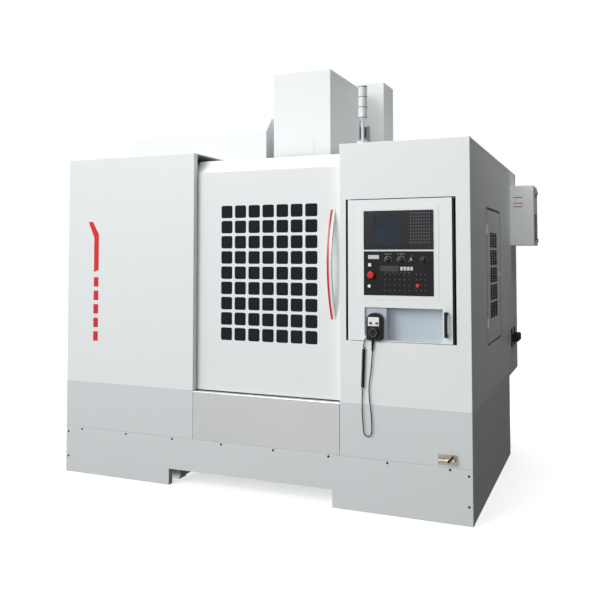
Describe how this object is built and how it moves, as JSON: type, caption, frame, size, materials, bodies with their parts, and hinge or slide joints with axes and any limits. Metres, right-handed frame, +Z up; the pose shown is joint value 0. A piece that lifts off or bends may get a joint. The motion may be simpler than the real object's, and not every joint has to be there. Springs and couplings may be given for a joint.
{
  "type": "cnc machining center",
  "caption": "Enclosed vertical machining center: C-frame mill with sliding window door, swing-out operator console, tool magazine, hand pendant and rear electrical cabinet.",
  "frame": {"origin": "centre of the footprint, on the floor", "axes": "+Z up, +Y towards the back, the door and console face -Y, +X to the operator's right"},
  "size_m": [2.88, 2.147, 2.759],
  "materials": {
    "casting_paint": "satin enamel on castings",
    "ground_iron": "ground faces, oiled",
    "bright_steel": "ground",
    "zinc_steel": "zinc plated",
    "motor_black": "satin black",
    "guard_white": "fine-texture powder coat",
    "guard_grey": "fine-texture powder coat",
    "stainless": "brushed, vertical grain",
    "galvanised": "spangled",
    "window": "tinted laminate",
    "handle": "gloss red front, grey sides",
    "console_paint": "fine-texture powder coat",
    "display_black": "satin",
    "panel_black": "matt",
    "knob_black": "satin",
    "key_metal": "bright",
    "estop_red": "gloss",
    "button_white": "gloss",
    "grip_black": "textured",
    "pendant_black": "textured",
    "cord_black": "matt",
    "valve_brass": "nickel worn to brass",
    "screw_black": "black oxide",
    "lamp": "clear ribbed",
    "cooler_grey": "powder coat",
    "electric_grey": "satin"
  },
  "bodies": {
    "frame": {"machine_bed": "casting_paint", "levelling_feet": "zinc_steel", "column": "casting_paint", "frame_drives": "motor_black", "column_cover": "guard_white", "magazine_frame": "casting_paint", "magazine_cover": "guard_white", "skirt_panels": "guard_grey", "panel_screws": "screw_black", "lower_panels": "guard_grey", "kick_panel": "stainless", "left_front_cover": "guard_white", "right_front_cover": "guard_white", "left_side_panel": "guard_white", "right_side_panel": "guard_white", "roof_panel": "guard_white", "inner_guard": "galvanised", "door_rails": "bright_steel", "electrical_cabinet": "guard_white", "drive_modules": "electric_grey", "cabinet_cooler": "cooler_grey", "air_valve": "valve_brass", "signal_tower": "lamp", "coolant_tank": "stainless"},
    "saddle": {"saddle": "casting_paint", "x_axis_drive": "motor_black"},
    "table": {"table": "ground_iron"},
    "x_screw": {"x_screw": "bright_steel"},
    "y_screw": {"y_screw": "bright_steel"},
    "z_screw": {"z_screw": "bright_steel"},
    "head": {"spindle_head": "casting_paint", "spindle_motor": "motor_black", "head_cover": "guard_white"},
    "spindle": {"spindle": "bright_steel"},
    "magazine_disc": {"magazine_disc": "zinc_steel"},
    "arm_shaft": {"arm_shaft": "bright_steel"},
    "changer_arm": {"changer_arm": "zinc_steel"},
    "side_door": {"side_door": "guard_white"},
    "cabinet_door": {"cabinet_door": "guard_white"},
    "sliding_door": {"door_panel": "guard_white", "door_window": "window", "door_handle": "handle"},
    "console": {"console_box": "console_paint", "display_unit": "display_black", "operator_panel": "panel_black", "console_handle": "grip_black", "pendant": "pendant_black", "cord_tube": "cord_black", "cord_coil": "cord_black"},
    "spindle_knob": {"spindle_knob": "knob_black"},
    "feed_knob": {"feed_knob": "knob_black"},
    "rapid_knob": {"rapid_knob": "knob_black"},
    "key_switch": {"key_switch": "key_metal"},
    "estop_button": {"estop_button": "estop_red"},
    "start_button": {"start_button": "button_white"},
    "hold_button": {"hold_button": "button_white"},
    "pendant_wheel": {"pendant_wheel": "knob_black"},
    "axis_knob": {"axis_knob": "knob_black"},
    "step_knob": {"step_knob": "knob_black"},
    "valve_lever": {"valve_lever": "screw_black"}
  },
  "joints": [
    {"name": "door_slide", "type": "slide", "parent": "frame", "child": "sliding_door", "axis": [-1, 0, 0], "range_m": [0, 0.86]},
    {"name": "console_swing", "type": "hinge", "parent": "frame", "child": "console", "pos_m": [0.57, -1.0185, 1.3], "axis": [0, 0, -1], "range_deg": [0, 75]},
    {"name": "side_door_hinge", "type": "hinge", "parent": "frame", "child": "side_door", "pos_m": [1.265, -0.46725, 1.3], "axis": [0, 0, -1], "range_deg": [0, 100]},
    {"name": "cabinet_door_hinge", "type": "hinge", "parent": "frame", "child": "cabinet_door", "pos_m": [0.46425, 1.0625, 1.3], "axis": [0, 0, 1], "range_deg": [0, 110]},
    {"name": "y_axis", "type": "slide", "parent": "frame", "child": "saddle", "axis": [0, 1, 0], "range_m": [-0.27, 0.27]},
    {"name": "x_axis", "type": "slide", "parent": "saddle", "child": "table", "axis": [1, 0, 0], "range_m": [-0.5, 0.5]},
    {"name": "z_axis", "type": "slide", "parent": "frame", "child": "head", "axis": [0, 0, 1], "range_m": [-0.55, 0]},
    {"name": "y_screw_turn", "type": "hinge", "parent": "frame", "child": "y_screw", "pos_m": [0.024, -0.2485, 0.505], "axis": [0, 1, 0], "range_deg": [-4870, 4870]},
    {"name": "x_screw_turn", "type": "hinge", "parent": "saddle", "child": "x_screw", "pos_m": [0.024, -0.2485, 0.698], "axis": [1, 0, 0], "range_deg": [-9010, 9010]},
    {"name": "z_screw_turn", "type": "hinge", "parent": "frame", "child": "z_screw", "pos_m": [0.024, 0.4065, 1.5], "axis": [0, 0, 1], "range_deg": [-9910, 10]},
    {"name": "spindle_turn", "type": "hinge", "parent": "head", "child": "spindle", "pos_m": [0.024, -0.2485, 1.6], "axis": [0, 0, 1], "continuous": true},
    {"name": "magazine_turn", "type": "hinge", "parent": "frame", "child": "magazine_disc", "pos_m": [-0.785, 0.0115, 1.97], "axis": [0, 1, 0], "continuous": true},
    {"name": "arm_lift", "type": "slide", "parent": "frame", "child": "arm_shaft", "axis": [0, 0, -1], "range_m": [0, 0.11]},
    {"name": "arm_turn", "type": "hinge", "parent": "arm_shaft", "child": "changer_arm", "pos_m": [-0.306, -0.2485, 1.53], "axis": [0, 0, 1], "range_deg": [0, 180]},
    {"name": "spindle_knob_turn", "type": "hinge", "parent": "console", "child": "spindle_knob", "pos_m": [0.799, -1.0335, 1.419], "axis": [0, 1, 0], "range_deg": [-140, 140]},
    {"name": "feed_knob_turn", "type": "hinge", "parent": "console", "child": "feed_knob", "pos_m": [0.875, -1.0335, 1.419], "axis": [0, 1, 0], "range_deg": [-140, 140]},
    {"name": "rapid_knob_turn", "type": "hinge", "parent": "console", "child": "rapid_knob", "pos_m": [1.003, -1.0335, 1.419], "axis": [0, 1, 0], "range_deg": [-140, 140]},
    {"name": "key_switch_turn", "type": "hinge", "parent": "console", "child": "key_switch", "pos_m": [0.936, -1.0335, 1.419], "axis": [0, 1, 0], "range_deg": [0, 90]},
    {"name": "estop_push", "type": "slide", "parent": "console", "child": "estop_button", "axis": [0, 1, 0], "range_m": [0, 0.005], "stiffness_N_per_m": 2500},
    {"name": "start_push", "type": "slide", "parent": "console", "child": "start_button", "axis": [0, 1, 0], "range_m": [0, 0.003], "stiffness_N_per_m": 1200},
    {"name": "hold_push", "type": "slide", "parent": "console", "child": "hold_button", "axis": [0, 1, 0], "range_m": [0, 0.003], "stiffness_N_per_m": 1200},
    {"name": "pendant_wheel_turn", "type": "hinge", "parent": "console", "child": "pendant_wheel", "pos_m": [0.72, -1.0555, 1.011], "axis": [0, 1, 0], "continuous": true},
    {"name": "axis_knob_turn", "type": "hinge", "parent": "console", "child": "axis_knob", "pos_m": [0.704, -1.0555, 1.063], "axis": [0, 1, 0], "range_deg": [-75, 75]},
    {"name": "step_knob_turn", "type": "hinge", "parent": "console", "child": "step_knob", "pos_m": [0.74, -1.0555, 1.063], "axis": [0, 1, 0], "range_deg": [-75, 75]},
    {"name": "valve_lever_turn", "type": "hinge", "parent": "frame", "child": "valve_lever", "pos_m": [1.138, -1.0525, 0.342], "axis": [0, -1, 0], "range_deg": [-50, 40]}
  ],
  "couplings": [
    {"joint": "y_screw_turn", "follows": "y_axis", "rad_per_m": 314.16},
    {"joint": "x_screw_turn", "follows": "x_axis", "rad_per_m": 314.16},
    {"joint": "z_screw_turn", "follows": "z_axis", "rad_per_m": 314.16}
  ]
}
